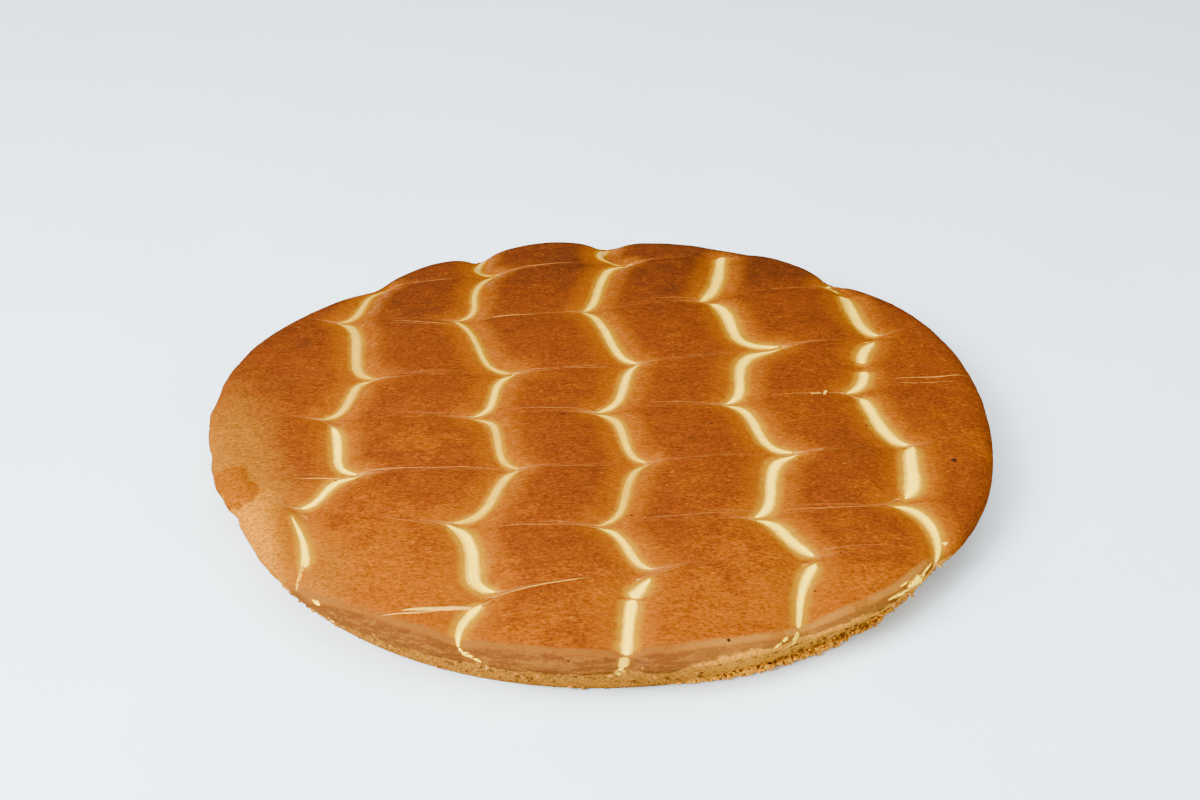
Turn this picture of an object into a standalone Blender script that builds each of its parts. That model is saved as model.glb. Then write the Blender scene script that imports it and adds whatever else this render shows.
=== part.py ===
"""A round marbled cheesecake, 28 cm across: one baked solid.

Five lines of cream cheese run from front to back over the cake. Strokes of a skewer cross them, one to the
right and the next to the left, and pull each line into a row of cusps. In the oven the cake has risen beside
the lines, so that they lie in valleys between low pillows.

The skin of the cake, from the middle of the top over the shoulder and down the side, is laid out flat as a
disc, the plan. Its radius is the length along the skin, its origin is the middle of the cake, +X is right and
+Y is the back. The points of the plan are triangulated, and then each is lifted into place.
All sizes are in millimetres until a point is lifted.
"""

import bisect
import math
from collections import namedtuple

import bmesh
import bpy
from mathutils import Vector, noise
from mathutils.geometry import delaunay_2d_cdt

MM = 0.001

# The body of the cake
RIM_RADIUS = 140.0
BASE_RADIUS = 129.5
RIM_HEIGHT = 14.5
SHOULDER_WIDTH = 10.5
SHOULDER_RISE = 5.5
SHOULDER_TURN_UNDER = math.radians(30)
DOME_RISE = 5.5
RIM_BUMP = namedtuple("RIM_BUMP", "angle spread out")
RIM_BUMPS = (
    RIM_BUMP(-6, 17, -2.5),
    RIM_BUMP(34, 14, 2.5),
    RIM_BUMP(58, 8, 1.5),
    RIM_BUMP(102, 8, 1.0),
    RIM_BUMP(136, 12, -3.5),
    RIM_BUMP(160, 20, 3.5),
    RIM_BUMP(188, 5, -1.5),
    RIM_BUMP(207, 13, -5.0),
)

# The lines of cream: x = middle + lean * s + bow * s * s, where s is y over 100 mm. At the back each one turns
# aside by its swerve, and there its valley is as deep as its notch.
LINE = namedtuple("LINE", "middle lean bow swerve back_end front_end width notch")
LINES = (
    LINE(-91, 2, -8, 0, 100, -97, 3.8, 2.6),
    LINE(-38.5, -8, -9, 11, 133, -136, 4.4, 5.2),
    LINE(5.5, -3, -2, 5, 139, -141, 4.4, 5.2),
    LINE(52, -5.5, 1, 0, 119, -134, 4.6, 2.4),
    LINE(96.5, -4, 10, -8, 103, -94, 4.9, 4.2),
)
SWERVE_ZONE = (78.0, 128.0)

# The strokes of the skewer: y = middle + lean * s + bow * s * s, where s is x over 100 mm
STROKE = namedtuple("STROKE", "middle lean bow way left_end right_end")
STROKES = (
    STROKE(112.5, 16, 1, 1, -110, 75),
    STROKE(67, 15.5, 15, -1, -118, 110),
    STROKE(21.5, 14, 12, 1, -132, 128),
    STROKE(-10, 7.5, 10, -1, -134, 136),
    STROKE(-43, 7, 6, 1, -128, 130),
    STROKE(-76, 1, 14, -1, -118, 128),
    STROKE(-100.5, 18, -6, 1, -60, 104),
    STROKE(-116, 0, 0, -1, -75, -28),
)
NEAR_PULL, NEAR_REACH = 5.0, 1.8
FAR_PULL, FAR_REACH = 6.0, 9.0
STROKE_HALF_GAP = 1.0
STROKE_FADE = 15
STRONG_PULLS = {(3, 2): 2.1, (1, 5): 1.4, (0, 4): 1.3, (3, 4): 1.4, (1, 7): 0.4}
SKIPPED = {(0, 7), (2, 7), (3, 7), (4, 7), (0, 6), (4, 6), (4, 0)}

# The relief of the skin
VALLEY_DEPTH, VALLEY_FLOOR, VALLEY_FADE = 2.3, 1.8, 7.5
VALLEY_SAMPLE = 3.0
NOTCH_RING, NOTCH_BACK = (100.0, 138.0), (0, 60)
BUMP_RING = (60, 140)
CREASE_DEPTH, CREASE_FADE = 0.7, 3.6
SWELL, SWELL_SIZE = 0.5, 28.0
RIBBON_RISE, RIBBON_UNEVEN, RIBBON_WAVE = 0.7, 0.25, 17.0
LIP_TO_BASE = 16.5
LIP_DROP, LIP_EDGE, LIP_WAVE, LIP_WAVE_SIZE = 0.9, 0.8, 1.6, 13.0
CRUMB_RELIEF, CRUMB_SIZE = 0.5, 5.0

# The points of the plan
RIM_POINTS = 132
SHOULDER_RINGS = (-14.5, -11.0, -7.5, -4.2)
LIP_RINGS = (0.0, LIP_EDGE)
SIDE_RINGS = (4.5, 9.5)
STATION_STEP, TIP_STEP = 4.2, 1.5
TIP_TAPER = 2.6
VALLEY_OFFSETS = (5.0, 9.5)
VALLEY_STEP = 6.0
CREASE_STEP, CREASE_OFFSET = 6.0, 3.6
OPEN_STEP = 10.5
LEAST_GAP = 2.0
SHARP_EDGE = math.radians(35)

BROWN = (0.42, 0.13, 0.022, 1.0)


def smoothstep(low, high, value):
    share = min(max((value - low) / (high - low), 0.0), 1.0)
    return share * share * (3 - 2 * share)


# The meridian: how the skin runs from the middle of the top to the base


def meridian_points():
    """(length along the skin, radius, height) from the edge of the dome to the base, in short steps."""
    turns = 28
    centre = RIM_RADIUS - SHOULDER_WIDTH
    points = []
    for step in range(turns + 1):
        angle = math.pi / 2 - (math.pi / 2 + SHOULDER_TURN_UNDER) * step / turns
        radius = centre + SHOULDER_WIDTH * math.cos(angle)
        points.append((radius, RIM_HEIGHT + SHOULDER_RISE * math.sin(angle)))
    points.append((BASE_RADIUS, 0.0))
    length = centre
    table = [(length, *points[0])]
    for before, after in zip(points, points[1:]):
        length += math.dist(before, after)
        table.append((length, *after))
    return table


MERIDIAN = meridian_points()
LENGTHS = [row[0] for row in MERIDIAN]
DOME_EDGE = LENGTHS[0]
SKIN_END = LENGTHS[-1]
LIP = SKIN_END - LIP_TO_BASE


def meridian(length):
    """Radius and height on the smooth cake, and the outward direction there, at a length along the skin."""
    if length <= DOME_EDGE:
        share = length / DOME_EDGE
        height = MERIDIAN[0][2] + DOME_RISE * (1 - share * share)
        return length, height, 0.0, 1.0
    row = min(max(bisect.bisect_right(LENGTHS, length), 1), len(MERIDIAN) - 1)
    low, high = MERIDIAN[row - 1], MERIDIAN[row]
    share = (length - low[0]) / (high[0] - low[0])
    run, drop = high[1] - low[1], high[2] - low[2]
    size = math.hypot(run, drop)
    return low[1] + share * run, low[2] + share * drop, -drop / size, run / size


# The pattern: lines of cream and the strokes across them


def line_x(line, y):
    s = y / 100
    return line.middle + line.lean * s + line.bow * s * s + line.swerve * smoothstep(*SWERVE_ZONE, y)


def stroke_y(stroke, x):
    s = x / 100
    return stroke.middle + stroke.lean * s + stroke.bow * s * s


def stroke_slope(stroke, x):
    return (stroke.lean + 2 * stroke.bow * x / 100) / 100


def crossings(number):
    """(y, pull to the right, stroke) wherever a stroke crosses this line, from the back to the front."""
    line = LINES[number]
    found = []
    for index, stroke in enumerate(STROKES):
        if (number, index) in SKIPPED:
            continue
        y = stroke.middle
        for _ in range(6):
            y = stroke_y(stroke, line_x(line, y))
        strength = STRONG_PULLS.get((number, index), 1.0)
        if line.front_end < y < line.back_end:
            found.append((y, stroke.way * strength, stroke))
    return sorted(found, key=lambda crossing: -crossing[0])


CROSSINGS = [crossings(number) for number in range(len(LINES))]


def pulled(number, y, near=True):
    """Where the strokes leave the point of a line that was at y. Without near, the smooth valley of the line."""
    line = LINES[number]
    x = line_x(line, y)
    move_x = move_y = 0.0
    for at, pull, stroke in CROSSINGS[number]:
        away = abs(y - at)
        move = pull * FAR_PULL * math.exp(-away / FAR_REACH)
        if near:
            move += pull * NEAR_PULL * math.exp(-away / NEAR_REACH)
        move_x += move
        move_y += move * stroke_slope(stroke, x)
    return x + move_x, y + move_y


def stretches(number):
    """The (back y, front y) of each stretch of cream between two strokes, and whether each end is a cusp."""
    line = LINES[number]
    ends = [(line.back_end, False), *((row[0], True) for row in CROSSINGS[number]), (line.front_end, False)]
    for (back, back_cusp), (front, front_cusp) in zip(ends, ends[1:]):
        top = back - STROKE_HALF_GAP * back_cusp
        bottom = front + STROKE_HALF_GAP * front_cusp
        if top - bottom > 2 * TIP_TAPER:
            yield top, bottom


def stations(top, bottom):
    """Values of y down one stretch of cream, closer together at its two tips."""
    values = [top, top - TIP_STEP]
    count = max(round((top - bottom - 2 * TIP_STEP) / STATION_STEP), 1)
    step = (top - bottom - 2 * TIP_STEP) / count
    values += [top - TIP_STEP - step * index for index in range(1, count + 1)]
    return [*values, bottom]


def ribbon_width(number, y, top, bottom):
    """How wide the cream is at y, tapering to its tips."""
    to_tip = min(top - y, y - bottom)
    grown = 1 - math.exp(-to_tip / TIP_TAPER)
    uneven = 1 + RIBBON_UNEVEN * noise.noise(Vector((7.3 * number, y / RIBBON_WAVE, 3.1)))
    return LINES[number].width * grown * uneven


def ribbon_rise(number, y):
    """How far the middle of the cream stands up: less where the line runs slanting and so is narrow."""
    before, after = pulled(number, y + 1), pulled(number, y - 1)
    run, fall = after[0] - before[0], after[1] - before[1]
    return RIBBON_RISE * (fall / math.hypot(run, fall)) ** 2


# The relief: what rises and sinks along the outward direction


def valley_middles():
    """For each line, points down the middle of its smooth valley."""
    rows = []
    for number, line in enumerate(LINES):
        count = int((line.back_end - line.front_end) / VALLEY_SAMPLE)
        ys = [line.back_end - VALLEY_SAMPLE * index for index in range(count + 1)]
        rows.append([pulled(number, y, near=False) for y in ys])
    return rows


VALLEYS = valley_middles()


def to_valley(number, x, y):
    """Distance from a point of the plan to the middle of a line's valley."""
    nearest = math.inf
    points = VALLEYS[number]
    for (ax, ay), (bx, by) in zip(points, points[1:]):
        run, rise = bx - ax, by - ay
        share = ((x - ax) * run + (y - ay) * rise) / (run * run + rise * rise)
        share = min(max(share, 0.0), 1.0)
        nearest = min(nearest, math.hypot(x - ax - share * run, y - ay - share * rise))
    return nearest


def stroke_weight(stroke, x):
    """1 along a stroke, fading out towards its two ends."""
    from_left = smoothstep(0, STROKE_FADE, x - stroke.left_end)
    return from_left * smoothstep(0, STROKE_FADE, stroke.right_end - x)


def lip_length(turn):
    """Length along the skin to the ragged lip of the crust, at an angle around the cake."""
    around = Vector((math.cos(turn), math.sin(turn), 0.0)) * RIM_RADIUS / LIP_WAVE_SIZE
    return LIP + LIP_WAVE * noise.noise(around)


def relief(x, y):
    """How far the skin stands out of the smooth cake at a point of the plan."""
    length = math.hypot(x, y)
    height = SWELL * noise.noise(Vector((x / SWELL_SIZE, y / SWELL_SIZE, 0.7)))
    at_back = smoothstep(*NOTCH_RING, length) * smoothstep(*NOTCH_BACK, y)
    for number, line in enumerate(LINES):
        away = max(to_valley(number, x, y) - VALLEY_FLOOR, 0.0)
        depth = VALLEY_DEPTH + (line.notch - VALLEY_DEPTH) * at_back
        height -= depth * math.exp(-away / VALLEY_FADE)
    for stroke in STROKES:
        away = abs(y - stroke_y(stroke, x))
        height -= CREASE_DEPTH * stroke_weight(stroke, x) * math.exp(-away / CREASE_FADE)
    height *= 1 - smoothstep(LIP - 3, SKIN_END, length)
    if length > LIP - LIP_WAVE:
        below = smoothstep(0, LIP_EDGE, length - lip_length(math.atan2(y, x)))
        crumb = CRUMB_RELIEF * noise.noise(Vector((x / CRUMB_SIZE, y / CRUMB_SIZE, 5.3)))
        height += below * (crumb - LIP_DROP) * (1 - smoothstep(LIP + 6, SKIN_END, length))
    return height


def rim_out(angle):
    """How far the rim stands out of its circle at an angle in degrees."""
    out = 0.0
    for bump in RIM_BUMPS:
        off = (angle - bump.angle + 180) % 360 - 180
        out += bump.out * math.exp(-((off / bump.spread) ** 2))
    return out


def lift(x, y, rise):
    """A point of the plan, in its place on the cake, in metres."""
    length = math.hypot(x, y)
    angle = math.atan2(y, x)
    radius, height, out, up = meridian(length)
    if length < SKIN_END - 0.01:
        push = relief(x, y) + rise
        bump = smoothstep(*BUMP_RING, length) * (1 - smoothstep(LIP, SKIN_END, length))
        radius += out * push + bump * rim_out(math.degrees(angle))
        height += max(up, 0.0) * push
    return Vector((radius * math.cos(angle), radius * math.sin(angle), height)) * MM


# The points of the plan


class Plan:
    """Points of the plan, each with the rise of what lies on the skin there, and the edges to keep."""

    def __init__(self):
        self.points = []
        self.rises = []
        self.edges = []
        self.cells = {}

    def cell(self, x, y):
        return math.floor(x / LEAST_GAP), math.floor(y / LEAST_GAP)

    def add(self, x, y, rise=0.0):
        self.cells.setdefault(self.cell(x, y), []).append(len(self.points))
        self.points.append(Vector((x, y)))
        self.rises.append(rise)
        return len(self.points) - 1

    def add_if_free(self, x, y, gap=LEAST_GAP):
        """Adds a point of bare skin, unless another point is nearer than the gap."""
        if math.hypot(x, y) > SKIN_END - 2.5:
            return
        column, row = self.cell(x, y)
        reach = math.ceil(gap / LEAST_GAP)
        for i in range(column - reach, column + reach + 1):
            for j in range(row - reach, row + reach + 1):
                for index in self.cells.get((i, j), ()):
                    if (self.points[index] - Vector((x, y))).length < gap:
                        return
        self.add(x, y)

    def join(self, indices):
        self.edges += list(zip(indices, indices[1:]))


def add_ribbons(plan):
    """Two edges and a raised middle for each stretch of cream."""
    for number in range(len(LINES)):
        for top, bottom in stretches(number):
            left, middle, right = [], [], []
            for y in stations(top, bottom):
                px, py = pulled(number, y)
                half = ribbon_width(number, y, top, bottom) / 2
                if y in (top, bottom):
                    tip = plan.add(px, py)
                    left.append(tip)
                    middle.append(tip)
                    right.append(tip)
                    continue
                left.append(plan.add(px - half, py))
                middle.append(plan.add(px, py, ribbon_rise(number, y)))
                right.append(plan.add(px + half, py))
            for side in (left, middle, right):
                plan.join(side)


def add_rings(plan):
    """The circles of the shoulder, the lip of the crust and the side."""
    turns = [2 * math.pi * step / RIM_POINTS for step in range(RIM_POINTS)]
    half_step = math.pi / RIM_POINTS
    for turn in turns:
        plan.add(SKIN_END * math.cos(turn), SKIN_END * math.sin(turn))
    for offset in LIP_RINGS:
        ring = []
        for turn in turns:
            length = lip_length(turn) + offset
            ring.append(plan.add(length * math.cos(turn), length * math.sin(turn)))
        plan.join([*ring, ring[0]])
    for index, offset in enumerate(SHOULDER_RINGS + SIDE_RINGS):
        for turn in turns:
            turn += half_step * (index % 2)
            length = LIP + offset
            plan.add_if_free(length * math.cos(turn), length * math.sin(turn), 1.2)


def add_valleys_and_creases(plan):
    """Rows of points beside each line of cream and each stroke, where the skin bends most."""
    for number, line in enumerate(LINES):
        count = round((line.back_end - line.front_end) / VALLEY_STEP)
        for step in range(count + 1):
            y = line.back_end - VALLEY_STEP * step
            x, y = pulled(number, y, near=False)
            for offset in VALLEY_OFFSETS:
                plan.add_if_free(x - offset, y)
                plan.add_if_free(x + offset, y)
    for stroke in STROKES:
        count = round((stroke.right_end - stroke.left_end) / CREASE_STEP)
        for step in range(count + 1):
            x = stroke.left_end + CREASE_STEP * step
            y = stroke_y(stroke, x)
            plan.add_if_free(x, y)
            plan.add_if_free(x, y - CREASE_OFFSET, 2.6)
            plan.add_if_free(x, y + CREASE_OFFSET, 2.6)


def add_open_skin(plan):
    """A loose triangular grid over the rest of the top."""
    rows = math.ceil(DOME_EDGE / (OPEN_STEP * 0.866))
    columns = math.ceil(DOME_EDGE / OPEN_STEP)
    for row in range(-rows, rows + 1):
        for column in range(-columns, columns + 1):
            x = (column + 0.5 * (row % 2)) * OPEN_STEP
            y = row * OPEN_STEP * 0.866
            if math.hypot(x, y) < LIP - 16:
                plan.add_if_free(x, y, 0.6 * OPEN_STEP)


def draw_plan():
    plan = Plan()
    add_ribbons(plan)
    add_rings(plan)
    add_valleys_and_creases(plan)
    add_open_skin(plan)
    return plan


# The solid


def cake_mesh(plan):
    """The triangulated plan, lifted, and closed by the flat base."""
    points, _, faces, sources, _, _ = delaunay_2d_cdt(plan.points, plan.edges, [], 0, 0.01, True)
    shape = bmesh.new()
    lifted = []
    for point, source in zip(points, sources):
        rise = max((plan.rises[index] for index in source), default=0.0)
        lifted.append(shape.verts.new(lift(point.x, point.y, rise)))
    for face in faces:
        shape.faces.new([lifted[index] for index in face])
    rim = [edge for edge in shape.edges if edge.is_boundary]
    bmesh.ops.holes_fill(shape, edges=rim, sides=0)
    bmesh.ops.recalc_face_normals(shape, faces=shape.faces)
    mesh = bpy.data.meshes.new("cake")
    shape.to_mesh(mesh)
    shape.free()
    mesh.shade_smooth()
    mesh.set_sharp_from_angle(angle=SHARP_EDGE)
    return mesh


def browned_crust():
    material = bpy.data.materials.new("browned_crust")
    material.use_nodes = True
    shader = material.node_tree.nodes["Principled BSDF"]
    shader.inputs["Base Color"].default_value = BROWN
    shader.inputs["Roughness"].default_value = 0.45
    shader.inputs["Metallic"].default_value = 0.0
    return material


def main():
    for old in list(bpy.data.objects):
        bpy.data.objects.remove(old)
    cheesecake = bpy.data.collections.new("cheesecake")
    bpy.context.scene.collection.children.link(cheesecake)
    cake = bpy.data.objects.new("cake", cake_mesh(draw_plan()))
    cake.data.materials.append(browned_crust())
    cheesecake.objects.link(cake)


main()
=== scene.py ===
import math
from collections import namedtuple
from itertools import combinations

import bpy
import numpy as np
from mathutils import Matrix, Vector, noise
from mathutils.geometry import delaunay_2d_cdt
from mathutils.kdtree import KDTree


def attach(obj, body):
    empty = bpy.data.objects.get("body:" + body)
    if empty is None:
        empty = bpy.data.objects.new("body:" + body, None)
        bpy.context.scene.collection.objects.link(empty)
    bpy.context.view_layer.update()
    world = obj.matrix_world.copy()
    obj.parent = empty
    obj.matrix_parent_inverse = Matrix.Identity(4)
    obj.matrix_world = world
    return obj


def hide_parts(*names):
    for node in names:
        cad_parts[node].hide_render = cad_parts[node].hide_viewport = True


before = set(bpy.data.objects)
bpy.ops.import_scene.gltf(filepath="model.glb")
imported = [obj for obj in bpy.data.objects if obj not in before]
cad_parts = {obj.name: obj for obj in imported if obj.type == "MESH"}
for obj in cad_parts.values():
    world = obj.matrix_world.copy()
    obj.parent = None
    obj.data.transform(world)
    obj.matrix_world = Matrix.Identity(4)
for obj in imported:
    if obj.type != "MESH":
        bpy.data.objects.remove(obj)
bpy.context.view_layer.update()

# Looks of a round marbled cheesecake: the baked skin, the lines of cream, the streaks of the skewer,
# the crumb of the side, flakes and specks.
#
# The skin is laid out flat as a disc, the plan, just as in the solid: its radius is the length along
# the skin from the middle of the top, +X is right and +Y is the back. Sizes are in millimetres until
# a point is lifted.

MM = 0.001
RANDOM = np.random.default_rng(28)

# The body of the cake
RIM_RADIUS = 140.0
BASE_RADIUS = 129.5
RIM_HEIGHT = 14.5
SHOULDER_WIDTH = 10.5
SHOULDER_RISE = 5.5
SHOULDER_TURN_UNDER = math.radians(30)
DOME_RISE = 5.5
RIM_BUMP = namedtuple("RIM_BUMP", "angle spread out")
RIM_BUMPS = [RIM_BUMP(*row) for row in (
    (-6, 17, -2.5), (34, 14, 2.5), (58, 8, 1.5), (102, 8, 1.0), (136, 12, -3.5), (160, 20, 3.5),
    (188, 5, -1.5), (207, 13, -5.0),
)]

# The lines of cream: x = middle + lean * s + bow * s * s, where s is y over 100 mm. At the back each one
# turns aside by its swerve, and there its valley is as deep as its notch.
LINE = namedtuple("LINE", "middle lean bow swerve back_end front_end notch")
LINES = (
    LINE(-91, 2, -8, 0, 100, -97, 2.6),
    LINE(-38.5, -8, -9, 11, 133, -136, 5.2),
    LINE(5.5, -3, -2, 5, 139, -141.5, 5.2),
    LINE(52, -5.5, 1, 0, 119, -136, 2.4),
    LINE(96.5, -4, 10, -8, 103, -94, 4.2),
)
SWERVE_ZONE = (78.0, 128.0)

# The strokes of the skewer: y = middle + lean * s + bow * s * s, where s is x over 100 mm
STROKE = namedtuple("STROKE", "middle lean bow way left_end right_end")
STROKES = (
    STROKE(112.5, 16, 1, 1, -110, 75),
    STROKE(67, 15.5, 15, -1, -118, 110),
    STROKE(21.5, 14, 12, 1, -132, 128),
    STROKE(-10, 7.5, 10, -1, -134, 136),
    STROKE(-43, 7, 6, 1, -128, 130),
    STROKE(-76, 1, 14, -1, -118, 128),
    STROKE(-100.5, 18, -6, 1, -60, 104),
    STROKE(-116, 0, 0, -1, -75, -28),
)
NEAR_PULL, NEAR_REACH = 5.0, 1.8
FAR_PULL, FAR_REACH = 6.0, 9.0
STROKE_FADE = 15
# By line and stroke: crossings with a stronger pull, and strokes that leave a line alone
STRONG_PULLS = {(3, 2): 2.1, (1, 5): 1.4, (0, 4): 1.3, (3, 4): 1.4}
SKIPPED = {(0, 7), (1, 7), (2, 7), (3, 7), (4, 7), (0, 6), (4, 6), (4, 0)}

# The gap that a stroke leaves in a line, behind and in front of it, and the wider ones by line and stroke
GAP = (0.7, 0.7)
WIDE_GAPS = {
    (0, 3): (0.7, 4.5), (0, 5): (0.7, 3.5), (1, 6): (0.7, 4.2), (2, 6): (0.7, 3.4), (3, 6): (1, 3.2),
    (3, 1): (0.7, 3), (4, 2): (0.8, 4), (4, 3): (0.7, 4), (4, 5): (2.6, 0.7),
}

# Where a line of cream is broken: line, y, length of the gap
BREAKS = (
    (0, -95.5, 5), (1, -133.7, 6), (2, -111.5, 0.5), (2, -135.8, 0.5), (3, -124.8, 1.2), (4, 86, 3.5),
    (4, 23.5, 6),
)

# How each stretch of cream lies, line by line, from the back to the front: how far right of its even
# course its top and its bottom are and its middle bows, its width, how fresh it looks, from 0, baked
# golden, to 1, pale, and how much it narrows to its bottom, or with a minus to its top
STRETCH = namedtuple("STRETCH", "top bottom bow width fresh wedge", defaults=(0,))
STRETCHES = (
    (
        (-1, 0.5, -0.8, 3.8, 0.3, -0.4), (-0.3, -1.3, 1.2, 4.2, 0.3), (-1, 2.2, 0.3, 3.7, 0.35),
        (-0.8, -3.8, 1.9, 4.2, 0.85), (-3.2, 0.9, 0, 4.3, 0.9), (-6, 6, 1.4, 4.6, 0.8, -0.7),
    ),
    (
        (4.5, -5, -0.5, 2.8, 0.3), (1.3, 1.7, -0.6, 2.9, 0.35), (-4.8, -4.2, 1.2, 3, 0.4),
        (0.3, 2.3, -0.9, 3.6, 0.55), (3, -0.2, -0.2, 3, 0.3), (1.7, 2.7, -0.5, 4.2, 0.35),
        (-2.6, -4.2, 1.5, 5.2, 1), (-0.3, -0.8, -1.3, 5.6, 0.95, 0.75),
    ),
    (
        (2, -9, -0.6, 3.2, 0.35), (-1.8, -2, 0, 4.1, 0.6), (-3, 0.2, 0.5, 4.1, 0.65),
        (2.3, 3.2, 0, 4.1, 0.6), (2, 0, 0.2, 3.4, 0.45), (0.8, 1.6, -0.3, 3, 0.3),
        (-0.4, 0.2, 0.7, 3.3, 0.6), (4.2, 0.6, 0, 6.2, 0.95, -0.4), (0.8, 0.2, 0, 4.7, 1),
        (-0.2, -0.9, 0, 4, 0.35),
    ),
    (
        (4, -1, -0.3, 5.4, 0.65), (0.2, -5, 2.6, 5.4, 0.9), (-3.3, 1.2, -0.6, 5, 0.75),
        (0.2, -2.8, 1.3, 4.3, 0.7), (-0.8, 0.6, 0, 4.8, 0.95), (1.7, 1.9, -0.9, 5, 0.9),
        (4, -2.6, -1, 5.3, 0.95, 0.6), (-3, -3, 0, 2.2, 0.5),
    ),
    (
        (0, 0, 0, 2.6, 0.6), (-4, -3.2, 0, 2.8, 0.6), (-2.4, 0.8, 0, 6, 0.75), (3, 0.6, -1, 5.4, 0.85),
        (1.8, 3, 0, 5.3, 0.85), (1.2, -0.3, -0.4, 6, 0.9), (4, 4, 0, 7.2, 0.95),
        (1, -2.7, 2.2, 5.2, 0.9, 0.4),
    ),
)
DRIFT_REACH = 2.5

# The relief of the skin, as in the solid
VALLEY_DEPTH, VALLEY_FLOOR, VALLEY_FADE = 2.3, 1.8, 7.5
VALLEY_SAMPLE = 1.0
NOTCH_RING, NOTCH_BACK = (100.0, 138.0), (0, 60)
BUMP_RING = (60, 140)
CREASE_DEPTH, CREASE_FADE = 0.7, 3.6
SWELL, SWELL_SIZE = 0.5, 28.0
LIP_TO_BASE = 16.5
LIP_DROP, LIP_EDGE, LIP_WAVE, LIP_WAVE_SIZE = 0.9, 0.8, 1.6, 13.0

# The finer relief, which only the skin drawn here has: height and size of each
RIPPLE, RIPPLE_SIZE = 0.16, (9.0, 5.0)
PUCKER, PUCKER_SIZE, PUCKER_REACH = 0.14, (3.4, 2.4), 9.0
LIP_TEAR, LIP_TEAR_SIZE = 0.9, 3.2
CRUMB_RELIEF, CRUMB_SIZE = 0.55, 1.9
CRUMB_SWELL, CRUMB_SWELL_SIZE = 0.3, 5.0
LEFT_LUMP, LEFT_LUMP_SIZE, LEFT_LUMP_RING = 0.6, 9.0, (105, 135)

# A scab of crust on the left rim, in two lobes, and the dent in front of it: x, y, height, reach
SCAB = ((-129, -44, 1, 6.5), (-124.5, -53.5, 1.1, 6.5))
SCAB_DENT = (-127, -61, -1.6, 4)

# Meshes
SKIN_STEP = 1.05
UNDERSIDE_STEP = 4.5
RIM_STEPS = 960
GRID_ROW = 0.866
CREAM_STEP, CREAM_TIP_STEP, CREAM_TIP_ZONE = 0.8, 0.3, 5.0
CREAM_ACROSS = np.linspace(-1, 1, 9)
CREAM_AROUND = np.append(CREAM_ACROSS, (1.0, -1.0))
CREAM_RISE, CREAM_SUNK, CREAM_DEEP = 0.34, 0.20, 0.9
CREAM_FULL_WIDTH = 4.4
TIP_TAPER, BREAK_TAPER, NEAR_STROKE = 1.5, 0.45, 6.0
STROKE_ROOM = 0.85
SHORTEST_STRETCH = 1.5
FAR_OFF = 999.0


def smoothstep(low, high, value):
    share = np.clip((np.asarray(value, float) - low) / (high - low), 0.0, 1.0)
    return share * share * (3 - 2 * share)


def around(length, turns):
    """X and y at lengths from the middle and angles around it."""
    return length * np.cos(turns), length * np.sin(turns)


def field(xs, ys, size, seed):
    """Smooth noise over points, about -1 to 1. The size is one number, or one along X and one along Y."""
    along, across = size if isinstance(size, tuple) else (size, size)
    return np.array([noise.noise((x / along, y / across, seed)) for x, y in zip(xs, ys)])


# The meridian: how the skin runs from the middle of the top to the base


def meridian_points():
    """(length along the skin, radius, height) from the edge of the dome to the base, in short steps."""
    turns, centre = 28, RIM_RADIUS - SHOULDER_WIDTH
    points = []
    for step in range(turns + 1):
        angle = math.pi / 2 - (math.pi / 2 + SHOULDER_TURN_UNDER) * step / turns
        radius = centre + SHOULDER_WIDTH * math.cos(angle)
        points.append((radius, RIM_HEIGHT + SHOULDER_RISE * math.sin(angle)))
    points.append((BASE_RADIUS, 0.0))
    length = centre
    table = [(length, *points[0])]
    for before, after in zip(points, points[1:]):
        length += math.dist(before, after)
        table.append((length, *after))
    return np.array(table)


MERIDIAN = meridian_points()
DOME_EDGE = MERIDIAN[0, 0]
SKIN_END = MERIDIAN[-1, 0]
LIP = SKIN_END - LIP_TO_BASE


def meridian(length):
    """Radius, height and outward direction on the smooth cake, at lengths along the skin."""
    lengths, radii, heights = MERIDIAN.T
    runs, drops = np.diff(radii), np.diff(heights)
    sizes = np.hypot(runs, drops)
    middles = (lengths[1:] + lengths[:-1]) / 2
    outs = np.interp(length, [DOME_EDGE, *middles], [0.0, *(-drops / sizes)])
    ups = np.interp(length, [DOME_EDGE, *middles], [1.0, *(runs / sizes)])
    dome = DOME_RISE * (1 - np.clip(length / DOME_EDGE, 0, 1) ** 2)
    radius = np.where(length < DOME_EDGE, length, np.interp(length, lengths, radii))
    return radius, np.interp(length, lengths, heights) + dome, outs, ups


# The pattern: lines of cream and the strokes across them


def line_x(line, y):
    s = y / 100
    return line.middle + line.lean * s + line.bow * s * s + line.swerve * smoothstep(*SWERVE_ZONE, y)


def stroke_y(stroke, x):
    s = x / 100
    return stroke.middle + stroke.lean * s + stroke.bow * s * s


def stroke_slope(stroke, x):
    return (stroke.lean + 2 * stroke.bow * x / 100) / 100


def crossings(number):
    """Where strokes cross this line, back to front: y, pull to the right, the stroke and its number."""
    line = LINES[number]
    found = []
    for index, stroke in enumerate(STROKES):
        if (number, index) in SKIPPED:
            continue
        y = stroke.middle
        for _ in range(6):
            y = stroke_y(stroke, line_x(line, y))
        strength = STRONG_PULLS.get((number, index), 1.0)
        if line.front_end < y < line.back_end:
            found.append((float(y), stroke.way * strength, stroke, index))
    return sorted(found, key=lambda crossing: -crossing[0])


CROSSINGS = [crossings(number) for number in range(len(LINES))]


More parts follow.
